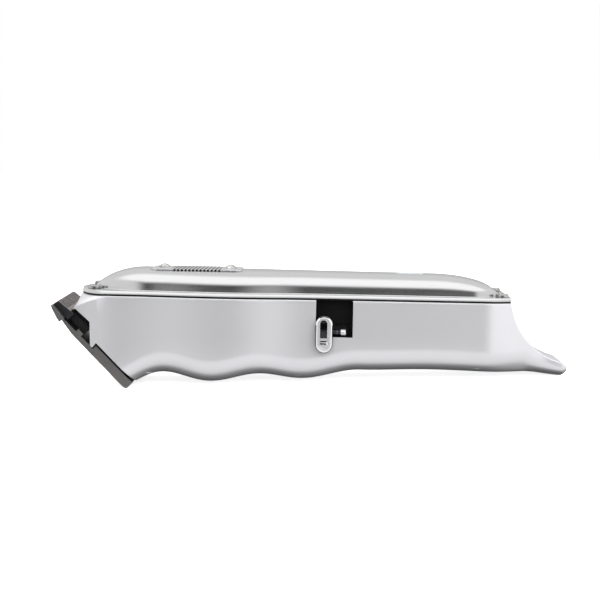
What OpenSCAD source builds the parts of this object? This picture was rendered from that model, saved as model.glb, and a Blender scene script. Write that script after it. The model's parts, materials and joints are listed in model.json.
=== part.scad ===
// Cordless T-blade hair trimmer with a cast metal body, in millimetres.
// X runs from the teeth (-X) to the tail (+X), Y across the body, Z up.
// The origin is under the middle of the trimmer, level with the heel of the blade.

/* [Body] */
// Overall length, from the tooth tips to the end of the tail
body_length = 151; // [150:0.5:152]
// Half the width of the grip at its widest, over the front finger groove
grip_half_w = 18.6; // [18:0.1:19]
// Half the width of the straight rear part of the body
rear_half_w = 16.5; // [16.3:0.1:16.8]
// Radius that the lower side edges are rounded to
edge_r = 7; // [6:0.5:7.5]
// Thickness of the cast wall
wall = 1.8; // [1.6:0.1:1.9]
// Thickness of the black sealing strip in the seam
seal_t = 0.5; // [0.3:0.05:0.5]

/* [Top cover] */
// Height of the dome over its flange at the front
dome_h = 6; // [5.8:0.1:6.2]
// How far the dome stands in from the flange edge
flange_step = 2.2; // [2:0.1:2.4]
// Wall thickness of the cover
cover_wall = 1.4; // [1.2:0.1:1.5]

/* [Blade] */
// Width of the toothed T bar
blade_w = 40; // [38:0.5:42]
// Number of gaps in the comb of the fixed blade
tooth_gaps = 29; // [23:2:31]
// Travel of the cutter each side of the middle
cutter_travel = 1.3; // [0.8:0.1:1.3]

/* [Drive] */
// Diameter of the motor can
motor_d = 20; // [19:0.2:20]
// Distance of the drive pin from the motor axis
crank_r = 1.2; // [0.8:0.1:1.2]
// Diameter of the motor shaft
shaft_d = 2; // [1.8:0.1:2]
// Running clearance between shaft and bearing, on the radius
running_gap = 0.03; // [0.02:0.01:0.05]

/* [Power] */
// Diameter of the battery cell
cell_d = 14; // [13.4:0.2:14]
// Length of the battery cell
cell_len = 50; // [46:1:50]
// Bore of the charging socket
socket_bore = 3.6; // [3.4:0.1:4]
// Travel of the thumb switch along the body
switch_travel = 5.8; // [3:0.2:5.8]

/* [Hidden] */
$fn = 48;
tiny = 0.01;
mid_x = body_length / 2;

// Seam and cover levels
seam_z = 27;
flange_z = seam_z + seal_t;
flange_top = 28.5;
dome_front_z = flange_top + dome_h;
dome_rear_z = dome_front_z - 0.4;
rod_r = 0.85;
rod_y = -13.4;
rod_z = 17.4;

// Body outline: [x, value] crests and hollows, joined by smooth steps
grip_line = [[-62.6, -2.9], [-43.4, 4.5], [-30, 2.2], [-15.2, 4.6], [-3.3, 3.3],
    [14, 6.1], [35, 6.6], [62, 6.1], [75.5, 5]];
side_line = [[-70, 15.6], [-56, 16.4], [-25, grip_half_w], [-1, rear_half_w],
    [50, rear_half_w], [70, 10.3]];
nose_start = -60;
nose_depth = 8.7;
lip_x = -70.2;
lip_z = 23;
crease_z = 26.4;
rim_chamfer = 0.5;
cavity_end = 51.8;
rear_x = 57.9;
tail_c = [79.04, 30.17];
tail_r = 21.4;
tail_round = 2;

// Blade frame: s along the plate from the teeth, n into the body, at 45 degrees
plate_len = 32.6;
plate_t = 2.6;
heel_n = -2;
tip_z = (plate_len - heel_n) * sin(45);
cutter_top = 2.3;
screw_s = 25;
screw_y = 8;
seat_n = 0.2;

// Drive line
motor_z = 17;
motor_front = -44;
motor_rear = -18;
crank_x = -50.5;
pin_tip = -55.3;
pin_d = 2;
fork_gap = crank_r + pin_d / 2 + cutter_travel + 0.2;

// Fasteners and rear parts
front_screw = [-64.4, 8];
rear_screw = [55.5, 11];
post_x = [-49, -12];
cradle_x = [-4, 48.5];
post_y = 11;
post_top = 10;
cradle_top = 11.5;
screw_gap = 0.05;
cell_x = -6;
cell_z = 16.5;
socket_z = 20;
socket_x = 58.5;
window = [0.9, 11.7, 16.2];
plate_x = [-47.9, -21.2];
plate_z = 34.2;
rivet_x = [-44.5, -24.7];
lens_x = 28.9;
board_z = 24.6;

function ease(t) = (1 - cos(180 * t)) / 2;

// Value at x of a line through [x, value] keys
function along(keys, x, i = 0) =
    x <= keys[0][0] ? keys[0][1]
    : i == len(keys) - 1 ? keys[i][1]
    : x > keys[i + 1][0] ? along(keys, x, i + 1)
    : keys[i][1] + (keys[i + 1][1] - keys[i][1])
        * ease((x - keys[i][0]) / (keys[i + 1][0] - keys[i][0]));

// How far a rounded end of radius r has drawn in at x
function drawn_in(x, start, r) =
    x <= start ? 0 : r - sqrt(max(0, r * r - pow(x - start, 2)));

tail_start = mid_x - tail_round * sin(75);
function bottom_z(x) = along(grip_line, x) + drawn_in(x, tail_start, tail_round);
function half_w(x) = along(side_line, x) - drawn_in(x, tail_start, tail_round);
function nose_t(x) = min(1, max(0, (nose_start - x) / nose_depth));
function nose_w(x) = half_w(nose_start) * sqrt(max(0, 1 - pow(nose_t(x), 2)));
function rim_w(x) = (x < nose_start ? max(1.7, nose_w(x)) : half_w(x)) - rim_chamfer;
function top_z(x) =
    x <= rear_x ? seam_z
    : tail_c[1] - sqrt(pow(tail_r, 2) - pow(tail_c[0] - x, 2)) - drawn_in(x, tail_start, tail_round);
function side_top_z(x) =
    x < nose_start ? crease_z - 3.4 * pow((nose_start - x) / 10.2, 1.7)
    : top_z(x) - min(0.6, 0.2 * (top_z(x) - bottom_z(x)));

// Height and half width of the dome over the flange
dome_x = [-65, -50, 35, 54.8];
function dome_height(x) =
    x <= dome_x[0] || x >= dome_x[3] ? 0
    : x < dome_x[1] ? dome_h * pow(1 - pow((dome_x[1] - x) / (dome_x[1] - dome_x[0]), 2), 0.7)
    : x < dome_x[2] ? dome_h + (dome_rear_z - dome_front_z) * (x - dome_x[1]) / (dome_x[2] - dome_x[1])
    : (dome_rear_z - flange_top) * pow(1 - pow((x - dome_x[2]) / (dome_x[3] - dome_x[2]), 2), 0.5);
dome_nose = -47.5;
dome_corner = 8;
function dome_w(x) =
    x < dome_nose
    ? max(1, (half_w(dome_nose) - flange_step)
        * sqrt(max(0, 1 - pow((dome_nose - x) / (dome_nose - dome_x[0]), 2))))
    : half_w(x) - flange_step - drawn_in(min(x, dome_x[3]), dome_x[3] - dome_corner, dome_corner);

// Solid stretches of both shells dip this much between their edges
dip = 0.12;

// Closed surface through equal rings of points, each ring going out and coming back
module skin(rings) {
    n = len(rings[0]);
    last = (len(rings) - 1) * n;
    sides = [for (j = [0 : len(rings) - 2], i = [0 : n - 1])
        let (a = j * n + i, b = j * n + (i + 1) % n)
        each [[a, b + n, b], [a, a + n, b + n]]];
    caps = [for (i = [0 : n / 2 - 2])
        let (j = n - 1 - i)
        each [[i, i + 1, j - 1], [i, j - 1, j], [last + i, last + j - 1, last + i + 1],
            [last + i, last + j, last + j - 1]]];
    polyhedron(points = [for (ring = rings) each ring], faces = concat(sides, caps), convexity = 10);
}

// One ring of the housing: the outer wall from side to side, then the inner wall back
function corner(w, z, ry, rz, from, steps) =
    [for (i = [0 : steps]) let (a = from + 90 * i / steps) [w + ry * cos(a), z + rz * sin(a)]];
function housing_ring(x, hollow) =
    let (w = half_w(x), top = top_z(x), low = bottom_z(x),
        rz = min(edge_r, 0.72 * (top - low)), ry = min(edge_r, 0.6 * w),
        inner_w = w - wall, floor = low + wall, ir = edge_r - wall,
        outer = concat([[-rim_w(x), top], [-w, side_top_z(x)]],
            corner(-(w - ry), low + rz, ry, rz, 180, 5),
            corner(w - ry, low + rz, ry, rz, 270, 5),
            [[w, side_top_z(x)], [rim_w(x), top]]),
        across = rim_w(x) - 0.4,
        inner = hollow
            ? concat([[inner_w, top], [inner_w, side_top_z(x)]],
                [for (i = [5 : -1 : 0]) corner(inner_w - ir, floor + ir, ir, ir, 270, 5)[i]],
                [for (i = [5 : -1 : 0]) corner(-(inner_w - ir), floor + ir, ir, ir, 180, 5)[i]],
                [[-inner_w, side_top_z(x)], [-inner_w, top]])
            : [for (i = [0 : 15]) let (t = 1 - 2 * i / 15) [across * t, top - dip * (1 - t * t)]])
    [for (p = concat(outer, inner)) [x, p[0], p[1]]];

// The lip at the front of the nose falls a little towards its sides
lip_ring = [for (p = housing_ring(nose_start - nose_depth, false))
    [lip_x, p[1], min(p[2], abs(p[1]) < 2 ? lip_z + 0.05 : lip_z - 0.15)]];

housing_rings = concat(
    [lip_ring],
    [for (a = [12 : 9.75 : 90]) housing_ring(nose_start - nose_depth * cos(a), false)],
    [for (x = [nose_start + 0.2, each [-57.6 : 3.3 : 48.5], cavity_end]) housing_ring(x, true)],
    [for (x = [cavity_end + 0.2, 55, rear_x]) housing_ring(x, false)],
    [for (b = [16 : 9 : 70]) housing_ring(tail_c[0] - tail_r * cos(b), false)],
    [for (a = [0 : 18.75 : 75]) housing_ring(tail_start + tail_round * sin(a), false)]);

module in_blade_frame() {
    translate([-mid_x, 0, tip_z]) rotate([0, 45, 0]) children();
}

// A side outline in X and Z, or in s and n, given its thickness across Y
module across_y(outline, half, from = undef) {
    start = is_undef(from) ? -half : from;
    translate([0, half, 0]) rotate([90, 0, 0]) linear_extrude(half - start) polygon(outline);
}

module along_x(from, to, r, z = motor_z, y = 0) {
    translate([from, y, z]) rotate([0, 90, 0]) cylinder(h = to - from, r = r);
}

module block(from, to) {
    translate(from) cube(to - from);
}

module both_sides(x, y) {
    for (side = [-1, 1]) translate([x, side * y, 0]) children();
}

// Plain machine screw along -Z, its head standing on z
module screw(z, length, d, head_d, head_h) {
    difference() {
        union() {
            translate([0, 0, z]) cylinder(h = 0.55 * head_h, d = head_d);
            translate([0, 0, z + 0.55 * head_h])
                cylinder(h = 0.45 * head_h, d1 = head_d, d2 = 0.7 * head_d);
            translate([0, 0, z - length]) cylinder(h = length + tiny, d = d);
        }
        translate([0, 0, z + 0.4 * head_h]) cylinder(h = head_h, d = 0.42 * head_d, $fn = 6);
    }
}

module screw_hole(z, depth, d = 2) {
    translate([0, 0, z - depth]) cylinder(h = depth + tiny, d = d + 2 * screw_gap);
}

// Plan outline of the seam, shrunk by inset
function seam_plan(inset, from, to) =
    let (xs = concat(
            [for (a = [12 : 6.5 : 90]) nose_start - nose_depth * cos(a)],
            [for (x = [-57 : 3 : 54]) x], [to]),
        inside = [for (x = xs) if (x >= from && x <= to) x])
    concat([for (x = inside) [x, -(rim_w(x) - inset)]],
        [for (i = [len(inside) - 1 : -1 : 0]) [inside[i], rim_w(inside[i]) - inset]]);

// ---- Shells ----

// Side view of the opening for the blade, cut through both side walls
notch = [[-85, lip_z], [-69.1, lip_z], [-64.9, 19.3], [-64.7, 12.4], [-64.1, 11.8],
    [-62.95, tip_z - mid_x + 62.95 + 0.78], [-49, tip_z - mid_x + 49 + 0.78], [-49, -12], [-85, -12]];

module lower_housing() {
    color("silver") difference() {
        union() {
            difference() {
                skin(housing_rings);
                block([-72, -14, -12], [nose_start + 0.6, 14, lip_z - 0.2]);
            }
            for (x = post_x) both_sides(x, post_y)
                translate([0, 0, bottom_z(x) + 1.5]) cylinder(h = post_top - bottom_z(x) - 1.5, d = 5);
            for (x = cradle_x) both_sides(x, post_y)
                translate([0, 0, bottom_z(x) + 1.5]) cylinder(h = post_top - bottom_z(x) - 1.5, d = 5);
        }
        across_y(notch, 30);
        both_sides(front_screw[0], front_screw[1]) screw_hole(seam_z, 3.3);
        both_sides(rear_screw[0], rear_screw[1]) screw_hole(seam_z, 6.5);
        for (x = concat(post_x, cradle_x)) both_sides(x, post_y) screw_hole(post_top, 3.2);
        along_x(cavity_end - 1, mid_x, 4.1, socket_z);
        block([window[0], -20, window[2]], [window[1], -13.5, seam_z + 1]);
    }
}

// Squares up a sine or cosine, for an arch with a flat top and soft shoulders
function arch(t) = sign(t) * pow(abs(t), 0.66);
function cover_ring(x) =
    let (flange_w = (x < nose_start ? max(1.7, nose_w(x)) : half_w(x)) - 0.2,
        h = dome_height(x), hollow = x > nose_start + 0.1 && x < 52,
        w = min(dome_w(x), flange_w - 0.9),
        in_w = w - cover_wall, in_h = flange_top + h - cover_wall - flange_z,
        side = [[flange_w, flange_z], [flange_w, flange_top - 0.3], [flange_w - 0.3, flange_top],
            [w + 0.5, flange_top]],
        outer = concat(side,
            [for (a = [0 : 15 : 180]) [w * arch(cos(a)), flange_top + 0.02 + h * arch(sin(a))]],
            [for (i = [3 : -1 : 0]) [-side[i][0], side[i][1]]]),
        inner = hollow
            ? [for (a = [0 : 9 : 180]) [-in_w * arch(cos(a)), flange_z + in_h * arch(sin(a))]]
            : [for (i = [0 : 20]) let (t = i / 10 - 1) [(flange_w - 0.3) * t, flange_z + dip * (1 - t * t)]])
    [for (p = concat(outer, inner)) [x, p[0], p[1]]];

cover_rings = [for (x = concat(
    [for (a = [12 : 6.5 : 90]) nose_start - nose_depth * cos(a)],
    [nose_start + 0.2, -58.5, -57, -55.5, -53.5, -51.5, -49], [for (x = [-44 : 6 : 28]) x],
    [31, 34, 37, 40, 43, 46, 48.5, 50.5, 51.9, 52.1, 53, 53.8, 54.5, 55.1, 55.6, 56, 56.3, rear_x]))
    cover_ring(x)];

module top_cover() {
    color("gainsboro") difference() {
        skin(cover_rings);
        both_sides(front_screw[0], front_screw[1]) screw_hole(flange_top + 2, 4);
        both_sides(rear_screw[0], rear_screw[1]) screw_hole(flange_top + 2, 4);
        both_sides(front_screw[0], front_screw[1]) translate([0, 0, flange_top]) cylinder(h = 8, r = 2.2);
        both_sides(rear_screw[0], rear_screw[1]) translate([0, 0, flange_top]) cylinder(h = 8, r = 2.8);
        block([plate_x[0] - 0.15, -8.15, plate_z], [plate_x[1] + 0.15, 8.15, plate_z + 4]);
        for (x = rivet_x) translate([x, 0, plate_z - 3]) cylinder(h = 4, r = 0.85);
        slot_bar(8.2, 2.2, dome_rear_z - 4, dome_rear_z + 2);
    }
}

// Bar with round ends along X at the charge light
module slot_bar(length, width, low, high) {
    for (end = [-1, 1])
        translate([lens_x + end * (length - width) / 2, 0, low]) cylinder(h = high - low, d = width);
    block([lens_x - (length - width) / 2, -width / 2, low], [lens_x + (length - width) / 2, width / 2, high]);
}

module cover_gasket() {
    color([0.06, 0.06, 0.06]) translate([0, 0, seam_z]) difference() {
        linear_extrude(seal_t) difference() {
            polygon(seam_plan(0, -70, rear_x - 0.2));
            polygon(seam_plan(wall, nose_start + 0.5, cavity_end));
        }
        both_sides(front_screw[0], front_screw[1]) translate([0, 0, -1]) cylinder(h = 2, r = 1.3);
        both_sides(rear_screw[0], rear_screw[1]) translate([0, 0, -1]) cylinder(h = 2, r = 1.3);
    }
}

module nameplate() {
    r = 2;
    color("dimgray") difference() {
        translate([0, 0, plate_z]) linear_extrude(0.4) union() {
            for (x = [plate_x[0] + r, plate_x[1] - r], y = [-8 + r, 8 - r]) translate([x, y]) circle(r);
            translate([plate_x[0] + r, -8]) square([plate_x[1] - plate_x[0] - 2 * r, 16]);
            translate([plate_x[0], -8 + r]) square([plate_x[1] - plate_x[0], 16 - 2 * r]);
        }
        for (x = rivet_x) translate([x, 0, plate_z - 1]) cylinder(h = 2, r = 0.85);
    }
}

module nameplate_rivets() {
    head = 1.9;
    rise = 1.2;
    dome_r = (head * head + rise * rise) / (2 * rise);
    color("whitesmoke") for (x = rivet_x) translate([x, 0, plate_z + 0.4]) {
        rotate_extrude() intersection() {
            translate([0, rise - dome_r]) circle(dome_r, $fn = 96);
            square([head, rise]);
        }
        translate([0, 0, -2.2]) cylinder(h = 2.2, r = 0.8);
    }
}

module front_cover_screws() {
    color("whitesmoke") both_sides(front_screw[0], front_screw[1]) screw(flange_top, 4.4, 2, 3.9, 1.1);
}

module rear_cover_screws() {
    color("whitesmoke") both_sides(rear_screw[0], rear_screw[1]) screw(flange_top, 7.6, 2, 3.9, 1.1);
}

module led_lens() {
    color("lightcyan") {
        slot_bar(8, 2, dome_rear_z - 1.6, dome_rear_z + 0.08);
        slot_bar(5, 1.6, board_z + 3, dome_rear_z - 1.6);
    }
}

// ---- Blade ----

comb_pitch = blade_w / (tooth_gaps + 1.6);
module comb_gaps(half, width, depth) {
    for (i = [-(tooth_gaps - 1) / 2 : (tooth_gaps - 1) / 2])
        if (abs(i * comb_pitch) < half - 0.6)
            block([-1, i * comb_pitch - width / 2, -4], [depth, i * comb_pitch + width / 2, 4]);
}

module fixed_blade() {
    tooth_bar = [[0, 0], [0, -0.3], [1.2, -0.75], [4.2, -1.7], [5.2, -1.8], [5.2, 0]];
    plate = [[5.1, -1], [5.1, -1.75], [10, -2.5], [17.5, -plate_t], [30.9, -plate_t], [32, -2.45],
        [plate_len, heel_n], [plate_len, seat_n], [17.5, seat_n], [17.5, -1], [12.4, -1], [12.4, -0.02],
        [10.4, -0.02], [10.4, -1]];
    color([0.72, 0.72, 0.72]) in_blade_frame() difference() {
        union() {
            across_y(tooth_bar, blade_w / 2);
            across_y(plate, 15.5);
        }
        comb_gaps(blade_w / 2, comb_pitch * 0.42, 3.2);
        both_sides(screw_s, screw_y) {
            translate([0, 0, -4]) cylinder(h = 8, r = 1.6);
            translate([0, 0, -plate_t - tiny]) cylinder(h = 1.6, r1 = 3.1, r2 = 1.6);
        }
    }
}

module cutter_blade() {
    teeth = [[0.3, 0.03], [0.3, 1.4], [0.8, 1.85], [5.2, cutter_top], [6.4, cutter_top], [6.4, 0.03]];
    body = [[6.3, 0.03], [6.3, cutter_top], [12.5, cutter_top], [12.5, 0.03]];
    color([0.62, 0.58, 0.56]) in_blade_frame() difference() {
        union() {
            across_y(teeth, 17);
            across_y(body, 13);
        }
        comb_gaps(17, comb_pitch * 0.5, 3.9);
        both_sides(9.8, 4.2) translate([0, 0, -1]) cylinder(h = 5, r = 0.8 + screw_gap);
    }
}

module cutter_yoke() {
    fork_y = fork_gap + 1.7;
    color([0.1, 0.1, 0.11]) difference() {
        union() {
            in_blade_frame() block([7.6, -6.4, cutter_top], [13.5, 6.4, 4.1]);
            block([-64.8, -5, 15.6], [-57, 5, 18.4]);
            block([-58, -fork_y, 14.2], [-56, fork_y, 19.8]);
            for (side = [-1, 1]) translate([0, side * (fork_gap + 0.85), 0])
                block([-56 - tiny, -0.85, 14.2], [-51.3, 0.85, 19.8]);
        }
        in_blade_frame() both_sides(9.8, 4.2) cylinder(h = 5, r = 0.8 + screw_gap);
    }
}

module yoke_screws() {
    color("silver") in_blade_frame() both_sides(9.8, 4.2) screw(4.1, 3.6, 1.6, 2.8, 0.8);
}

module blade_screws() {
    color([0.3, 0.3, 0.31]) in_blade_frame() both_sides(screw_s, screw_y) difference() {
        union() {
            translate([0, 0, -plate_t + 0.2]) cylinder(h = 1.35, r1 = 2.85, r2 = 1.5);
            translate([0, 0, -1.1]) cylinder(h = 4.8, r = 1.5);
        }
        for (turn = [0, 90]) rotate(turn) block([-1.5, -0.3, -3], [1.5, 0.3, -1.6]);
    }
}

module tension_spring() {
    strip = [[6.6, 2.36], [6.6, 2.66], [14, 2.66], [18, 4.36], [24, 4.36], [24, 4.06], [18.1, 4.06],
        [14.1, 2.36]];
    color([0.45, 0.45, 0.47]) in_blade_frame() difference() {
        across_y(strip, 11.6);
        block([0, -9, 0], [20.4, 9, 6]);
        translate([22, 0, 0]) cylinder(h = 6, r = 1.1);
    }
}

module spring_screw() {
    color("silver") in_blade_frame() translate([22, 0, 0]) screw(4.36, 3.4, 2, 3.6, 0.9);
}

module inner_chassis() {
    seat = [[18.3, seat_n], [18.3, 4.06], [29, 4.06], [29, seat_n]];
    cheek = [[-55.2, 5], [-55.2, 9.8], [-53, 12], [-44, 12], [-44, 10], [-51.8, 10], [-54.2, 6.4]];
    color([0.14, 0.14, 0.15]) difference() {
        union() {
            in_blade_frame() across_y(seat, 13);
            for (y = [13.2, -9.3]) across_y(cheek, y, y - 3.9);
            for (y = [9.3, -13.2]) block([-45, y, post_top], [-9, y + 3.9, cradle_top]);
            across_y([[-45.6, 8.4], [motor_front, 8.4], [motor_front, 25], [-45.6, 25]], 13.2);
        }
        in_blade_frame() {
            both_sides(screw_s, screw_y) cylinder(h = 3.9, r = 1.5 + screw_gap);
            translate([22, 0, 0.8]) cylinder(h = 5, r = 1 + screw_gap);
        }
        along_x(-50, -40, 4.6);
        for (side = [-1, 1]) along_x(-50, -40, 1.1, motor_z, side * 7);
        for (x = post_x) both_sides(x, post_y) {
            translate([0, 0, 5]) cylinder(h = 20, r = 1 + screw_gap);
            translate([0, 0, cradle_top]) cylinder(h = 10, r = 1.9);
        }
    }
}

module chassis_screws() {
    color("silver") for (x = post_x) both_sides(x, post_y) screw(cradle_top, 4.5, 2, 3.6, 0.9);
}

// ---- Motor ----

can_r = motor_d / 2;
module motor_can() {
    color([0.78, 0.78, 0.8]) difference() {
        union() {
            along_x(motor_front, motor_rear, can_r);
            along_x(motor_front - 1.2, motor_front + tiny, 3.5);
        }
        along_x(motor_front + 1, motor_rear + 1, can_r - 0.8);
        along_x(motor_front - 2, motor_front + 2, 2.5);
        for (side = [-1, 1]) along_x(motor_front - 2, motor_front + 2, 1 + screw_gap, motor_z, side * 7);
    }
}

module motor_magnets() {
    color([0.25, 0.25, 0.27]) difference() {
        along_x(motor_front + 5, motor_rear - 6, can_r - 0.8);
        along_x(motor_front + 4, motor_rear - 5, can_r - 2.9);
        block([motor_front, -20, motor_z - 3], [motor_rear, 20, motor_z + 3]);
    }
}

module motor_end_cap() {
    color([0.16, 0.16, 0.17]) difference() {
        union() {
            along_x(motor_rear, motor_rear + 2, can_r);
            along_x(motor_rear - 2, motor_rear + tiny, can_r - 0.8);
            along_x(motor_rear + 2 - tiny, motor_rear + 3, 3.5);
        }
        along_x(motor_rear - 3, motor_rear + 4, 2.5);
        for (side = [-1, 1]) translate([motor_rear - 3, side * 5.5 - 0.5, motor_z - 1.5]) cube([8, 1, 3]);
    }
}

module motor_bearings() {
    color("darkgoldenrod") for (x = [motor_front - 1.2, motor_rear - 1]) difference() {
        along_x(x, x + 3.4, 2.5);
        along_x(x - 1, x + 5, shaft_d / 2 + running_gap);
    }
}

module motor_terminals() {
    color("goldenrod") for (side = [-1, 1])
        translate([motor_rear - 2, side * 5.5 - 0.5, motor_z - 1.5]) cube([6.5, 1, 3]);
}

module motor_screws() {
    color("silver") for (side = [-1, 1]) translate([0, side * 7, motor_z]) rotate([0, -90, 0])
        screw(45.6, 2.2, 2, 3, 0.7);
}

module armature() {
    color([0.6, 0.35, 0.2]) difference() {
        union() {
            along_x(-37.5, -26, can_r - 3.4);
            along_x(-39, -24.6, 5);
        }
        for (turn = [0, 120, 240]) translate([0, 0, motor_z]) rotate([turn, 0, 0])
            block([-38, -0.6, 3.4], [-25.5, 0.6, 12]);
        along_x(-45, -20, shaft_d / 2);
    }
}

module commutator() {
    color("peru") difference() {
        along_x(-24.6, -21.2, 2.3);
        for (turn = [60, 180, 300]) translate([0, 0, motor_z]) rotate([turn, 0, 0])
            block([-25, -0.15, 1.8], [-21, 0.15, 3]);
        along_x(-26, -20, shaft_d / 2);
    }
}

module motor_shaft() {
    color("lightgray") along_x(crank_x + 1, motor_rear + 3.4, shaft_d / 2);
}

module eccentric() {
    color([0.85, 0.85, 0.83]) difference() {
        union() {
            along_x(crank_x, -46.8, 3.5);
            along_x(pin_tip, crank_x + tiny, pin_d / 2, motor_z + crank_r);
        }
        along_x(crank_x + 1, -40, shaft_d / 2);
        translate([crank_x - 0.5, -5, motor_z - 6]) cube([4.3, 10, 4]);
    }
}

// ---- Power ----

module battery_cell() {
    color("royalblue") {
        along_x(cell_x, cell_x + cell_len - 1, cell_d / 2, cell_z);
        along_x(cell_x + cell_len - 1 - tiny, cell_x + cell_len, 2.7, cell_z);
    }
}

module battery_cradle() {
    color([0.18, 0.18, 0.19]) difference() {
        union() {
            block([cell_x - 2, -7.4, post_top - 0.6], [cradle_x[1] + 2.6, 7.4, cradle_top + 1]);
            block([17.8, -11.8, post_top + 0.4], [22.2, 11.8, cradle_top]);
            for (x = [cell_x - 2, 14, cell_x + 49.6]) block([x, -7.4, post_top - 0.6], [x + 1.2, 7.4, 20]);
            for (x = cradle_x) block([x - 2, -13.2, post_top], [x + 2.6, 13.2, cradle_top]);
        }
        along_x(cell_x - 0.6, cell_x + 50.2, cell_d / 2 + 0.1, cell_z);
        for (x = cradle_x) both_sides(x, post_y) translate([0, 0, 5]) cylinder(h = 12, r = 1 + screw_gap);
        block([cell_x - 4, -3, 14], [cell_x, 3, 22]);
        block([cell_x + 48, -3, 14], [cell_x + 52, 3, 22]);
    }
}

module battery_tabs() {
    color("lightgray") for (x = [cell_x - 0.3, cell_x + 50]) block([x, -2.5, 14.5], [x + 0.3, 2.5, 23.6]);
}

module cradle_screws() {
    color("silver") for (x = cradle_x) both_sides(x, post_y) screw(cradle_top, 4.5, 2, 3.6, 0.9);
}

module circuit_board() {
    color("darkgreen") difference() {
        union() {
            block([-7, -8.6, board_z], [44, 12, board_z + 1.2]);
            block([16, -12, board_z], [44, -8.6 + tiny, board_z + 1.2]);
        }
        for (p = [[20, -9.6], [20, 9.6]]) translate([p[0], p[1], board_z - 1]) cylinder(h = 4, r = 1.1);
    }
}

module board_components() {
    deck = board_z + 1.2;
    color([0.12, 0.12, 0.13]) {
        block([2, -3, deck], [7, 3, deck + 1.5]);
        block([10, 1, deck], [14, 5, deck + 1.2]);
        block([36, -5, deck], [41, 0, deck + 2]);
        translate([-2, 7, deck]) cylinder(h = 3.4, r = 2.5);
        translate([14, -4, deck]) cylinder(h = 2.6, r = 2);
        block([lens_x - 1.6, -1, deck], [lens_x + 1.6, 1, deck + 1.2]);
        for (i = [0 : 5]) block([1 + 2.6 * i, 8.5, deck], [2.6 + 2.6 * i, 9.3, deck + 0.5]);
    }
}

// Pillars under the board are part of the screws' own spacers
module board_screws() {
    color("silver") for (y = [-9.6, 9.6]) translate([20, y, 0]) {
        screw(board_z + 1.2, 6, 2, 3.6, 0.9);
        translate([0, 0, cradle_top]) cylinder(h = board_z - cradle_top, r = 2);
    }
}

module charge_socket() {
    color([0.1, 0.1, 0.1]) difference() {
        union() {
            along_x(47.4, socket_x, 4, socket_z);
            along_x(46.6, 47.4 + tiny, 3.2, socket_z);
        }
        along_x(48.2, socket_x + 1, socket_bore / 2 + 0.5, socket_z);
    }
}

module socket_sleeve() {
    color("gold") difference() {
        along_x(48.2, socket_x, socket_bore / 2 + 0.5, socket_z);
        along_x(48.6, socket_x + 1, socket_bore / 2, socket_z);
    }
}

// ---- Switch ----

button_x = [0.9, 5.8];
button_z = [11.9, 22.5];
button_y = [-19.3, -16.8];
module pill(from, to, grow) {
    r = (button_x[1] - button_x[0]) / 2 + grow;
    mid = (button_x[0] + button_x[1]) / 2;
    for (z = [button_z[0] + r - grow, button_z[1] - r + grow])
        translate([mid, to, z]) rotate([90, 0, 0]) cylinder(h = to - from, r = r);
    block([mid - r, from, button_z[0] + r - grow], [mid + r, to, button_z[1] - r + grow]);
}

module switch_button() {
    color("whitesmoke") difference() {
        union() {
            pill(button_y[0] + 0.35, button_y[1], 0);
            pill(button_y[0], button_y[0] + 0.36, -0.35);
        }
        pill(button_y[0] - 1, button_y[0] + 0.3, -1.1);
    }
}

module switch_stem() {
    color([0.12, 0.12, 0.12]) difference() {
        union() {
            block([1.6, button_y[1], 16.35], [5.1, -12.4, 21.8]);
            block([2.3, -12.41, 17], [4.3, -10.1, 19.4]);
        }
        along_x(3, 12, rod_r, rod_z, rod_y);
    }
}

module switch_rod() {
    color("lightgray") along_x(3, 9.8, rod_r, rod_z, rod_y);
}

module slide_switch() {
    color([0.2, 0.2, 0.21]) difference() {
        block([-1.4, -10.9, 15.2], [14.2, -7.6, 21.4]);
        block([2, -11, 16.7], [4.6 + switch_travel, -9.8, 19.7]);
    }
}

module window_liner() {
    color([0.05, 0.05, 0.05]) difference() {
        block([-2, -11.9, cradle_top], [15, -10.9, 26.6]);
        block([1.8, -13, 16.6], [4.8 + switch_travel, -10, 19.8]);
    }
}

// ---- Wires ----

function curve(p, t) =
    pow(1 - t, 3) * p[0] + 3 * pow(1 - t, 2) * t * p[1] + 3 * (1 - t) * t * t * p[2] + pow(t, 3) * p[3];
function slope(p, t) =
    3 * pow(1 - t, 2) * (p[1] - p[0]) + 6 * (1 - t) * t * (p[2] - p[1]) + 3 * t * t * (p[3] - p[2]);

// Round wire along one curve with four control points
module wire(p, r = 0.6, rings = 10, sides = 8) {
    skin([for (j = [0 : rings])
        let (t = j / rings, d = slope(p, t) / norm(slope(p, t)),
            u = cross(d, [0, 1, 0]) / norm(cross(d, [0, 1, 0])), v = cross(d, u))
        [for (i = [0 : sides - 1]) let (a = 360 * i / sides) curve(p, t) + r * (cos(a) * u + sin(a) * v)]]);
}

module motor_leads() {
    color("firebrick") for (side = [-1, 1])
        wire([[motor_rear + 4.5, side * 5.5, motor_z], [-9.4, side * 5.5, motor_z],
            [-11.4, side * 4.5, 25.2], [-7.02, side * 4.5, 25.2]]);
}

module battery_leads() {
    color("black") {
        wire([[-6.32, 0, 22.4], [-8.8, 0, 22.4], [-9.2, 0, 25.2], [-7.02, 0, 25.2]]);
        wire([[44.32, 0, 22.4], [46, 0, 22.4], [46, 3, 25.2], [44.02, 3, 25.2]]);
    }
}

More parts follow.
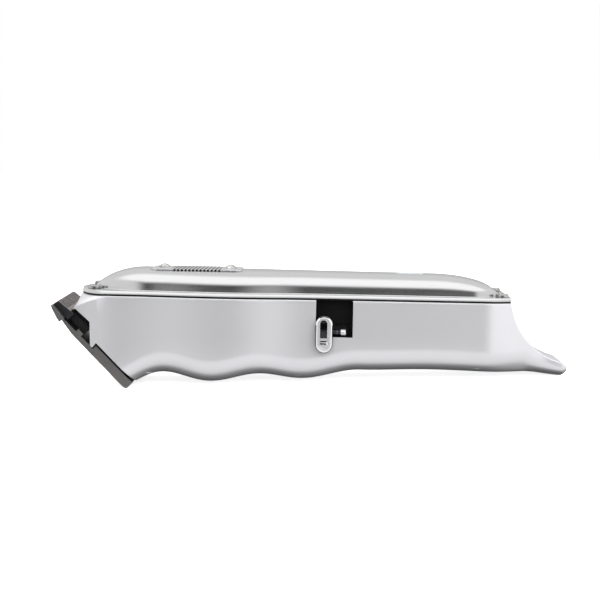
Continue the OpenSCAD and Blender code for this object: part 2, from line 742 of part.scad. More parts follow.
lower_housing();
top_cover();
cover_gasket();
nameplate();
nameplate_rivets();
front_cover_screws();
rear_cover_screws();
led_lens();
fixed_blade();
cutter_blade();
cutter_yoke();
yoke_screws();
blade_screws();
tension_spring();
spring_screw();
inner_chassis();
chassis_screws();
motor_can();
motor_magnets();
motor_end_cap();
motor_bearings();
motor_terminals();
motor_screws();
armature();
commutator();
motor_shaft();
eccentric();
battery_cell();
battery_cradle();
battery_tabs();
cradle_screws();
circuit_board();
board_components();
board_screws();
charge_socket();
socket_sleeve();
switch_button();
switch_stem();
switch_rod();
slide_switch();
window_liner();
motor_leads();
battery_leads();
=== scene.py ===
"""Cordless T-blade hair trimmer: shells, blade set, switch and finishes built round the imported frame."""
import json
import math

import bpy
from mathutils import Matrix, Vector

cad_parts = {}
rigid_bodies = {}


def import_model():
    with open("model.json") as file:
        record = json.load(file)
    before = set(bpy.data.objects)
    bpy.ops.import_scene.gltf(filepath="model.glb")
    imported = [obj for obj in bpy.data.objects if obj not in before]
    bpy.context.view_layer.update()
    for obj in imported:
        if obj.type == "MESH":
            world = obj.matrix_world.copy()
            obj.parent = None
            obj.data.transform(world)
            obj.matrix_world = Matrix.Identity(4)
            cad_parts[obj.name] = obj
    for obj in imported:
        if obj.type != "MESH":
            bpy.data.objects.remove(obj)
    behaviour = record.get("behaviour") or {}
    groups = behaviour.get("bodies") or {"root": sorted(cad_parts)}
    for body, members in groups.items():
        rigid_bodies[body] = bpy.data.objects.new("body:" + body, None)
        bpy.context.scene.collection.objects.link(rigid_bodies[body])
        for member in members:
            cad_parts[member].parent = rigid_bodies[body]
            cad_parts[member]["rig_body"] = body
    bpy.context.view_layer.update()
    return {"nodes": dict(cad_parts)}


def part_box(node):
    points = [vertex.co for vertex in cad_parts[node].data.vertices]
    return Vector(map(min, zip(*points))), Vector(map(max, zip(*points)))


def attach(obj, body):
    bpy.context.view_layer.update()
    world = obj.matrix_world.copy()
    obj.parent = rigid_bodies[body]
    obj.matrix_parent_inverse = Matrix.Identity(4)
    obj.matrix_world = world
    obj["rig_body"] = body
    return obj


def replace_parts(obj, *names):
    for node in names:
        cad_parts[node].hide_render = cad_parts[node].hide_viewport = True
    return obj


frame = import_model()

bl_info = {
    "name": "Hair Trimmer",
    "version": (1, 0, 0),
    "blender": (4, 5, 0),
    "location": "View3D > Sidebar > Trimmer",
    "description": "Builds a cordless T-blade hair trimmer with its finishes and a plain studio",
    "category": "Object",
}

MM = 0.001
BLADE_TURN = math.radians(45)


def linear(code):
    """An sRGB hex colour as linear red, green and blue."""
    parts = [int(code[i:i + 2], 16) / 255 for i in (1, 3, 5)]
    return tuple(c / 12.92 if c <= 0.04045 else ((c + 0.055) / 1.055) ** 2.4 for c in parts)


def millimetres(name, about, value, low, high):
    """A length property given in millimetres and stored in metres."""
    return bpy.props.FloatProperty(name=name, description=about, default=value * MM, min=low * MM,
                                   max=high * MM, unit="LENGTH", precision=5)


def paint(name, about, code):
    """A colour property from an sRGB hex value."""
    return bpy.props.FloatVectorProperty(name=name, description=about, default=linear(code), min=0,
                                         max=1, size=3, subtype="COLOR")


def half_width(node):
    """Half of a frame node's size across the trimmer, in millimetres."""
    low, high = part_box(node)
    return (high.y - low.y) / 2 / MM


class TrimmerShape(bpy.types.PropertyGroup):
    """Sizes that shape the two metal shells and their edges"""
    grip: millimetres("Grip half width", "Half of the body's width over the front finger groove",
                      half_width("lower_housing"), 18, 19)
    waist: millimetres("Rear half width", "Half of the body's width along its straight rear part",
                       16.5, 16.3, 16.8)
    edge: millimetres("Lower edge radius", "Radius of the rounding along the lower side edges", 7, 6, 7.5)
    wall: millimetres("Wall", "Thickness of the cast wall", 1.8, 1.6, 1.9)
    dome: millimetres("Dome height", "Height of the cover's dome over its flange", 6, 5.8, 6.2)
    step: millimetres("Flange step", "How far the dome stands in from the flange's edge", 2.2, 2, 2.4)
    sheet: millimetres("Cover wall", "Thickness of the pressed cover", 1.4, 1.2, 1.5)
    small_edge: millimetres("Small edge", "Rounding of the edges of small parts", 0.1, 0.02, 0.2)


class TrimmerColours(bpy.types.PropertyGroup):
    """Main colours of the trimmer"""
    body: paint("Body", "Silver lacquer on the cast housing", "#DADADD")
    cover: paint("Cover", "Satin chrome on the top cover", "#D6D6D7")
    bright: paint("Bright parts", "Chrome of the thumb switch and the nameplate's rivets", "#E9E9EA")
    blade: paint("Blade", "Ground steel of the comb", "#B3B1AF")
    cutter: paint("Cutter", "Ground steel of the moving cutter", "#A59C99")
    seal: paint("Seal", "Black rubber in the seam", "#060606")


# ---- Shape of the body, in millimetres ----
# X runs from the comb's tips to the end of the tail, Y from side to side, and Z upwards.

TIP_X = -75.5
TAIL_END = 75.5
# Places along X and heights of the underside, joined by eased curves.
GROOVES = [(-62.6, -2.9), (-43.4, 4.5), (-30, 2.2), (-15.2, 4.6), (-3.3, 3.3), (14, 6.1), (35, 6.6),
           (62, 6.1), (TAIL_END, 5)]
# Most of the body's height and half width that the lower rounding may take.
ROUND_HEIGHT_SHARE = 0.72
ROUND_WIDTH_SHARE = 0.6
SEAM = 27.0

# The nose: where its rounded plan starts, how far it reaches, and its lip in front.
NOSE = -60.0
NOSE_REACH = 8.7
LIP_X = -70.2
SHOULDER_Z = 26.4
NOSE_FALL = 3.4
RIM_INSET = 0.5

# The tail: a hollow round its centre, and a small rounding at its end.
CAVITY_END = 51.8
REAR = 57.9
TAIL_C = (79.04, 30.17)
TAIL_R = 21.4
TAIL_ROUND = 2.0
TAIL_START = TAIL_END - TAIL_ROUND * math.sin(math.radians(75))

# The cover's flange lies on the gasket, and its edge is a round that starts part of the way up.
FLANGE_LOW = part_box("cover_gasket")[1].z / MM
FLANGE_TOP = 28.5
FLANGE_INSET = 0.2
FLANGE_LEDGE = 0.9
FLANGE_ROUND = 1.1
FLANGE_ROUND_START = math.radians(25)
FILLET = 0.35
# The dome starts, has its full height, begins to fall and ends at these places.
DOME = (-65.0, -50.0, 35.0, 54.8)
DOME_FALL = 0.4
DOME_NOSE = -47.5
DOME_CORNER = 8
COVER_HOLLOW_END = 52

# Screws and posts: their places along X and from the middle, and their sizes.
FRONT_SCREW = (-64.4, 8.0)
REAR_SCREW = (55.5, 11.0)
SCREW_BORE = 1.05
POSTS = (-49.0, -12.0, -4.0, 48.5)
POST_SIDE = 11
POST_TOP = 10
POST_R = 2.5

# The nameplate's front, rear, half width and seat, and its rivets.
PLATE = (-48.05, -21.05, 8.15, 34.2)
RIVETS = (-44.5, -24.7)
RIVET_BORE = 0.85

# Openings: the charging socket, the switch window's front, rear and sill, and the mouth for the drive.
SOCKET_Z = 20.0
SOCKET_R = 4.1
WINDOW = (0.9, 11.7, 16.2)
MOUTH = ((-72, -14, -12), (NOSE + 0.6, 14, 22.8))

# The comb's tips are this high, and the housing clears the plate behind them by the gap.
TIP_Z = 34.6 * math.sin(BLADE_TURN)
BLADE_GAP = 1.25


def plate_gap_z(x):
    """Height at x of the gap over the blade plate, which slopes at 45 degrees from the comb's tips."""
    return TIP_Z - (x - TIP_X) + BLADE_GAP


NOTCH = [(-85, 23), (-69.1, 23), (-64.9, 19.3), (-64.7, 12.4), (-64.1, 11.8),
         (-62.95, plate_gap_z(-62.95)), (-49, plate_gap_z(-49)), (-49, -12), (-85, -12)]


def along(keys, x):
    """Value at x of a line through (x, value) keys, eased between them."""
    if x <= keys[0][0]:
        return keys[0][1]
    for (x0, v0), (x1, v1) in zip(keys, keys[1:]):
        if x <= x1:
            return v0 + (v1 - v0) * (1 - math.cos(math.pi * (x - x0) / (x1 - x0))) / 2
    return keys[-1][1]


def drawn_in(x, start, r):
    """How far a rounded end of radius r has drawn in at x."""
    return 0 if x <= start else r - math.sqrt(max(0, r * r - (x - start) ** 2))


def bottom_z(x):
    """Height of the underside at x."""
    return along(GROOVES, x) + drawn_in(x, TAIL_START, TAIL_ROUND)


def half_w(x):
    """Half of the body's width at x."""
    s = bpy.context.scene.trimmer_shape
    sides = [(-70, 15.6), (-56, 16.4), (-25, s.grip / MM), (-1, s.waist / MM), (50, s.waist / MM),
             (70, 10.3)]
    return along(sides, x) - drawn_in(x, TAIL_START, TAIL_ROUND)


def nose_w(x):
    """Half width of the rounded nose at x."""
    t = min(1, max(0, (NOSE - x) / NOSE_REACH))
    return half_w(NOSE) * math.sqrt(max(0, 1 - t * t))


def flange_w(x):
    """Half width at the seam."""
    return max(1.7, nose_w(x)) if x < NOSE else half_w(x)


def top_z(x):
    """Height of the housing's top: the seam, then the hollow down to the tail."""
    if x <= REAR:
        return SEAM
    return TAIL_C[1] - math.sqrt(TAIL_R ** 2 - (TAIL_C[0] - x) ** 2) - drawn_in(x, TAIL_START, TAIL_ROUND)


def side_top_z(x):
    """Height at which the flat side ends and the shoulder begins."""
    if x < NOSE:
        return SHOULDER_Z - NOSE_FALL * ((NOSE - x) / (NOSE - LIP_X)) ** 1.7
    return top_z(x) - min(0.6, 0.2 * (top_z(x) - bottom_z(x)))


def quarter(w, z, ry, rz, start, count):
    """Points of a quarter round from the angle start, in degrees."""
    turns = [math.radians(start + 90 * i / count) for i in range(count + 1)]
    return [(w + ry * math.cos(a), z + rz * math.sin(a)) for a in turns]


def housing_ring(x, hollow):
    """One slice of the housing, outside from side to side and then back inside."""
    s = bpy.context.scene.trimmer_shape
    w, top, low = half_w(x), top_z(x), bottom_z(x)
    rim, side = flange_w(x) - RIM_INSET, side_top_z(x)
    edge, wall = s.edge / MM, s.wall / MM
    rz, ry = min(edge, ROUND_HEIGHT_SHARE * (top - low)), min(edge, ROUND_WIDTH_SHARE * w)
    swell = 1.0 if x >= NOSE else max(0.3, 1 - (NOSE - x) / 2)
    shoulder = []
    for i in range(6):
        t, a = i / 5, math.pi / 2 * i / 5
        bulge = (math.sin(a) ** 0.5, max(0, math.cos(a)) ** 0.5)
        flat = Vector((rim + (w - rim) * t, top + (side - top) * t))
        full = Vector((rim + (w - rim) * bulge[0], side + (top - side) * bulge[1]))
        shoulder.append(tuple(flat.lerp(full, swell)))
    left = [(-y, z) for y, z in shoulder]
    drop = low + rz
    wall_z = [side + (drop - side) * k / 4 for k in (1, 2, 3)]
    under = [(w - ry) * k / 4 for k in (-3, -2, -1, 0, 1, 2, 3)]
    outer = (left + [(-w, z) for z in wall_z] + quarter(-(w - ry), drop, ry, rz, 180, 10)
             + [(y, low) for y in under] + quarter(w - ry, drop, ry, rz, 270, 10)
             + [(w, z) for z in reversed(wall_z)] + list(reversed(shoulder)))
    if hollow:
        inner_w, floor, ir = w - wall, low + wall, edge - wall
        corner = quarter(inner_w - ir, floor + ir, ir, ir, 270, 6)
        half = [(inner_w, top), (inner_w, side)] + corner[::-1]
        inner = half + [(-y, z) for y, z in reversed(half)]
    else:
        across = rim - 0.4
        last = 17
        inner = [(across * (1 - 2 * i / last), top) for i in range(last + 1)]
    return [(x, y, z) for y, z in outer + inner]


def steps(low, high, size):
    """Evenly spaced values from low to high, both included."""
    count = max(1, round((high - low) / size))
    return [low + (high - low) * i / count for i in range(count + 1)]


def housing_rings():
    """Slices of the housing from the lip to the end of the tail."""
    front = [NOSE - NOSE_REACH * math.cos(math.radians(a)) for a in steps(12, 90, 3)]
    lip = [(LIP_X, y, min(z, 23.05 if abs(y) < 2 else 22.85))
           for _, y, z in housing_ring(NOSE - NOSE_REACH, False)]
    tail = [TAIL_C[0] - TAIL_R * math.cos(math.radians(b)) for b in steps(10, 72, 2.6)]
    tail = [x for x in tail if REAR < x < TAIL_START - 0.2]
    end = [TAIL_START + TAIL_ROUND * math.sin(math.radians(a)) for a in steps(0, 75, 7.5)]
    return ([lip] + [housing_ring(x, False) for x in front]
            + [housing_ring(x, True) for x in steps(NOSE + 0.2, CAVITY_END, 1.0)]
            + [housing_ring(x, False) for x in steps(CAVITY_END + 0.2, REAR, 0.8) + tail + end])


def dome_height(x):
    """Height of the dome over the flange at x."""
    s = bpy.context.scene.trimmer_shape
    full = s.dome / MM
    rear = full - DOME_FALL
    if x <= DOME[0] or x >= DOME[3]:
        return 0
    if x < DOME[1]:
        return full * (1 - ((DOME[1] - x) / (DOME[1] - DOME[0])) ** 2) ** 0.7
    if x < DOME[2]:
        return full + (rear - full) * (x - DOME[1]) / (DOME[2] - DOME[1])
    return rear * (1 - ((x - DOME[2]) / (DOME[3] - DOME[2])) ** 2) ** 0.5


def dome_w(x):
    """Half width of the dome's foot at x."""
    s = bpy.context.scene.trimmer_shape
    step = s.step / MM
    if x < DOME_NOSE:
        t = min(1, (DOME_NOSE - x) / (DOME_NOSE - DOME[0]))
        return max(1, (half_w(DOME_NOSE) - step) * math.sqrt(1 - t * t))
    return half_w(x) - step - drawn_in(min(x, DOME[3]), DOME[3] - DOME_CORNER, DOME_CORNER)


# Angles up the dome's side, closer together where it is steep.
ARCH_TURNS = (0, 0.6, 2, 4.5, 8, 12.5, 18, 24.5, 32, 41, 52, 65, 78, 90)


def squared(t):
    """Squares up a sine or cosine, for an arch with a flat top and soft shoulders."""
    return math.copysign(abs(t) ** 0.66, t)


def arch(w, base, h):
    """Half of the dome's slice, from its side up to its middle."""
    turns = [math.radians(a) for a in ARCH_TURNS]
    return [(w * squared(math.cos(a)), base + h * squared(math.sin(a))) for a in turns[:-1]] + [(0, base + h)]


def cover_ring(x):
    """One slice of the cover, outside from side to side and then back inside."""
    s = bpy.context.scene.trimmer_shape
    wide, h, sheet = flange_w(x) - FLANGE_INSET, dome_height(x), s.sheet / MM
    w = min(dome_w(x), wide - FLANGE_LEDGE)
    out, lift = min(FILLET, (wide - w) / 2 - 0.3), min(FILLET, h / 3)
    foot = quarter(w + out, FLANGE_TOP + lift, out, lift, 180, 6)[::-1]
    rise, start = FLANGE_TOP - FLANGE_LOW, FLANGE_ROUND_START
    turns = [start + (math.pi / 2 - start) * i / 6 for i in range(7)]
    side = ([(wide - FLANGE_ROUND * (math.cos(start) - math.cos(a)),
              FLANGE_LOW + rise * (math.sin(a) - math.sin(start)) / (1 - math.sin(start))) for a in turns]
            + foot[:-1])
    dome = arch(w, FLANGE_TOP + 0.02 + lift, h - lift)
    half = side + dome
    outer = half + [(-y, z) for y, z in reversed(half[:-1])]
    if NOSE + 0.1 < x < COVER_HOLLOW_END:
        inside = arch(w - sheet, FLANGE_LOW, FLANGE_TOP + h - sheet - FLANGE_LOW)
        inner = [(-y, z) for y, z in inside] + list(reversed(inside[:-1]))
    else:
        count = 2 * len(ARCH_TURNS) - 2
        inner = [((wide - 0.3) * (2 * i / count - 1), FLANGE_LOW) for i in range(count + 1)]
    return [(x, y, z) for y, z in outer + inner]


def cover_rings():
    """Slices of the cover from its nose to its rear edge."""
    nose = [NOSE - NOSE_REACH * math.cos(math.radians(a)) for a in steps(12, 90, 2.4)]
    rear = steps(43, CAVITY_END, 0.6) + steps(COVER_HOLLOW_END + 0.1, DOME[3], 0.25) + [55.0, 56.2, REAR]
    return [cover_ring(x) for x in nose + steps(NOSE + 0.2, -48, 0.5) + steps(-47, 42, 1.0) + rear]


# ---- Modelling helpers ----

def alone(obj=None):
    """Leaves only obj selected and active, in object mode."""
    if bpy.context.mode != "OBJECT":
        bpy.ops.object.mode_set(mode="OBJECT")
    bpy.ops.object.select_all(action="DESELECT")
    if obj:
        obj.select_set(True)
        bpy.context.view_layer.objects.active = obj
    return obj


def settle(obj):
    """Puts an object's place, turn and scale into its mesh."""
    alone(obj)
    bpy.ops.object.transform_apply(location=True, rotation=True, scale=True)
    return obj


def apply_modifier(obj, kind, **settings):
    """Adds one modifier and applies it."""
    alone(obj)
    made = obj.modifiers.new(kind.title(), kind)
    for key, value in settings.items():
        setattr(made, key, value)
    bpy.ops.object.modifier_apply(modifier=made.name)


def select_where(obj, test, kind="FACE"):
    """In edit mode, selects only the faces or edges whose middle and normal pass the test."""
    bpy.ops.mesh.select_all(action="DESELECT")
    bpy.ops.mesh.select_mode(type=kind)
    bpy.ops.object.mode_set(mode="OBJECT")
    if kind == "FACE":
        for face in obj.data.polygons:
            face.select = test(face.center / MM, face.normal)
    else:
        for line in obj.data.edges:
            a, b = (obj.data.vertices[i].co / MM for i in line.vertices)
            line.select = test((a + b) / 2, (b - a))
    bpy.ops.object.mode_set(mode="EDIT")


def loft(name, rings):
    """A closed skin: a grid primitive whose rows become the rings, joined round and capped."""
    alone()
    rows, cols = len(rings), len(rings[0])
    bpy.ops.mesh.primitive_grid_add(x_subdivisions=cols, y_subdivisions=rows - 1, size=0.1)
    obj = bpy.context.object
    obj.name = name
    for j, ring in enumerate(rings):
        for i in range(cols + 1):
            obj.data.vertices[j * (cols + 1) + i].co = Vector(ring[i % cols]) * MM
    bpy.ops.object.mode_set(mode="EDIT")
    bpy.ops.mesh.select_all(action="SELECT")
    bpy.ops.mesh.remove_doubles(threshold=0.002 * MM)
    bpy.ops.mesh.fill_holes(sides=0)
    bpy.ops.mesh.select_all(action="SELECT")
    bpy.ops.mesh.normals_make_consistent(inside=False)
    return alone(obj)


def prism(outline, low, high):
    """A solid with the given outline in X and Z, from low to high across the trimmer."""
    alone()
    bpy.ops.mesh.primitive_circle_add(vertices=len(outline), radius=0.01, fill_type="NGON")
    obj = bpy.context.object
    for vertex, (x, z) in zip(obj.data.vertices, outline):
        vertex.co = Vector((x, low, z)) * MM
    bpy.ops.object.mode_set(mode="EDIT")
    bpy.ops.mesh.select_all(action="SELECT")
    bpy.ops.mesh.extrude_region_move(TRANSFORM_OT_translate={"value": (0, (high - low) * MM, 0)})
    bpy.ops.mesh.select_all(action="SELECT")
    bpy.ops.mesh.normals_make_consistent(inside=False)
    return alone(obj)


def box(low, high):
    """A block between two corners."""
    alone()
    low, high = Vector(low), Vector(high)
    bpy.ops.mesh.primitive_cube_add(size=1, location=(low + high) / 2 * MM)
    obj = bpy.context.object
    obj.scale = (high - low) * MM
    return settle(obj)


def peg(centre, r, length, axis="Z", sides=48):
    """A round bar along Z, Y or X."""
    alone()
    turn = {"Z": (0, 0, 0), "Y": (math.pi / 2, 0, 0), "X": (0, math.pi / 2, 0)}[axis]
    bpy.ops.mesh.primitive_cylinder_add(vertices=sides, radius=r * MM, depth=length * MM,
                                        location=Vector(centre) * MM, rotation=turn)
    return settle(bpy.context.object)


def cut(obj, cutter):
    """Takes the cutter's shape away from obj."""
    apply_modifier(obj, "BOOLEAN", operation="DIFFERENCE", solver="EXACT", object=cutter)
    bpy.data.objects.remove(cutter)


def both_sides(place):
    """The same place on the left and on the right."""
    return [(place[0], side * place[1]) for side in (-1, 1)]


def merge(parts, name):
    """Joins parts into one object with its own mesh."""
    alone(parts[0])
    for part in parts:
        part.select_set(True)
    bpy.ops.object.join()
    made = bpy.context.object
    made.name = name
    made.data.name = name
    return made


def soften(obj, width, angle=35, segments=2):
    """Rounds the sharp edges where a width is given, and shades what is smooth as smooth."""
    alone(obj)
    bpy.ops.object.mode_set(mode="EDIT")
    bpy.ops.mesh.select_all(action="SELECT")
    bpy.ops.mesh.remove_doubles(threshold=0.01 * MM)
    bpy.ops.mesh.dissolve_degenerate(threshold=0.01 * MM)
    bpy.ops.object.mode_set(mode="OBJECT")
    if width:
        apply_modifier(obj, "BEVEL", width=width, segments=segments, limit_method="ANGLE",
                       angle_limit=math.radians(angle), use_clamp_overlap=False, miter_outer="MITER_ARC",
                       loop_slide=True)
    bpy.ops.object.shade_smooth_by_angle(angle=math.radians(angle))
    if width:
        apply_modifier(obj, "WEIGHTED_NORMAL", keep_sharp=True, weight=60)
    return obj


def refined(node, width, material, angle=35):
    """A merged, edge-rounded copy of a frame node that stands for it."""
    source = frame["nodes"][node]
    copy = bpy.data.objects.new(node + "_finished", source.data.copy())
    bpy.context.scene.collection.objects.link(copy)
    alone(copy)
    bpy.ops.object.mode_set(mode="EDIT")
    bpy.ops.mesh.select_all(action="SELECT")
    bpy.ops.mesh.remove_doubles(threshold=0.004 * MM)
    bpy.ops.mesh.dissolve_limited(angle_limit=math.radians(0.6))
    bpy.ops.object.mode_set(mode="OBJECT")
    soften(copy, width, angle)
    return place(copy, material, node)


def place(obj, material, *nodes):
    """Gives a piece its finish, and puts it on the body of the frame nodes that it stands for."""
    obj.data.materials.clear()
    obj.data.materials.append(material)
    for face in obj.data.polygons:
        face.material_index = 0
    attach(obj, frame["nodes"][nodes[0]]["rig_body"])
    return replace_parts(obj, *nodes)


# ---- Finishes ----

def add(tree, kind, settings=None, inputs=None):
    """Adds one shader node with its settings, and fills its inputs with values or links."""
    made = tree.nodes.new(kind)
    for key, value in (settings or {}).items():
        setattr(made, key, value)
    for key, value in (inputs or {}).items():
        if isinstance(value, bpy.types.NodeSocket):
            tree.links.new(value, made.inputs[key])
        else:
            made.inputs[key].default_value = value
    return made


def rgba(colour, level=1.0):
    """A colour for a node's socket, from a hex value or a linear one, lighter or darker by level."""
    base = linear(colour) if isinstance(colour, str) else colour
    return tuple(min(1, c * level) for c in base[:3]) + (1,)


def finish(name, colour, metallic, rough, grain, drift=0.9, stretch=(1, 1, 1), relief=0.0, edge=0.0,
           second=None, blotch=None, sockets=None):
    """A material whose colour and roughness drift over a grain given in millimetres.

    Relief is the grain's depth and edge the soft rounding of sharp edges, both in millimetres. A blotch
    is a second, larger grain in millimetres that carries stains or wear, and on the cutter part of its
    painted reflection."""
    material = bpy.data.materials.new(name)
    material.use_nodes = True
    tree = material.node_tree
    tree.nodes.clear()
    where = add(tree, "ShaderNodeTexCoord").outputs["Object"]
    laid = add(tree, "ShaderNodeMapping", None, {"Vector": where, "Scale": stretch}).outputs[0]
    fine = add(tree, "ShaderNodeTexNoise", None,
               {"Vector": laid, "Scale": 1000 / grain, "Detail": 3.0, "Roughness": 0.6}).outputs[0]
    mask = fine
    if blotch:
        wide = add(tree, "ShaderNodeTexNoise", None, {"Vector": where, "Scale": 1000 / blotch, "Detail": 2.0})
        mask = add(tree, "ShaderNodeMix", None, {0: 0.5, 2: fine, 3: wide.outputs[0]}).outputs[0]
    spread = add(tree, "ShaderNodeMapRange", None, {"Value": mask, 1: 0.32, 2: 0.68}).outputs[0]
    tint = add(tree, "ShaderNodeMix", {"data_type": "RGBA"},
               {0: spread, 6: rgba(second or colour, 1 if second else drift), 7: rgba(colour)}).outputs[2]
    gloss = add(tree, "ShaderNodeMapRange", None, {"Value": mask, 1: 0.3, 2: 0.7, 3: rough[1], 4: rough[0]})
    surface = add(tree, "ShaderNodeBsdfPrincipled", None,
                  {"Base Color": tint, "Metallic": metallic, "Roughness": gloss.outputs[0],
                   **(sockets or {})})
    normal = None
    if edge:
        normal = add(tree, "ShaderNodeBevel", {"samples": 4}, {"Radius": edge * MM}).outputs[0]
    if relief:
        bump = add(tree, "ShaderNodeBump", None, {"Height": fine, "Strength": 1.0, "Distance": relief * MM})
        if normal:
            tree.links.new(normal, bump.inputs["Normal"])
        normal = bump.outputs[0]
    if normal:
        tree.links.new(normal, surface.inputs["Normal"])
    add(tree, "ShaderNodeOutputMaterial", None, {"Surface": surface.outputs[0]})
    return material


# At a scale of 1, the wave texture's bands repeat after this many units.
WAVE_REPEAT = 0.31416
# Bands that are kept to a span fade out over this many millimetres.
BAND_FADE = 0.3


def striped(material, pitch, turn, dark, share=0.5, axis="X", span=None):
    """Lays bands of a second colour over a finish, a pitch in millimetres apart and turned in degrees.

    A span keeps the bands between two places along X, in millimetres."""
    tree = material.node_tree
    surface = next(n for n in tree.nodes if n.type == "BSDF_PRINCIPLED")
    where = next(n for n in tree.nodes if n.type == "TEX_COORD").outputs["Object"]
    turned = add(tree, "ShaderNodeMapping", None, {"Vector": where, "Rotation": (0, 0, math.radians(turn))})
    bands = add(tree, "ShaderNodeTexWave", {"bands_direction": axis},
                {"Vector": turned.outputs[0], "Scale": 1000 / pitch * WAVE_REPEAT})
    plain = add(tree, "ShaderNodeMapRange", None,
                {"Value": bands.outputs["Fac"], 1: share - 0.06, 2: share + 0.06}).outputs[0]
    if span:
        across = add(tree, "ShaderNodeSeparateXYZ", None, {0: where}).outputs["X"]
        for end, fade in zip(span, (-BAND_FADE, BAND_FADE)):
            outside = add(tree, "ShaderNodeMapRange", None,
                          {"Value": across, 1: end * MM, 2: (end + fade) * MM}).outputs[0]
            plain = add(tree, "ShaderNodeMath", {"operation": "MAXIMUM"}, {0: plain, 1: outside}).outputs[0]
    under = surface.inputs["Base Color"].links[0].from_socket
    mixed = add(tree, "ShaderNodeMix", {"data_type": "RGBA"}, {0: plain, 6: rgba(dark), 7: under})
    tree.links.new(mixed.outputs[2], surface.inputs["Base Color"])
    return material


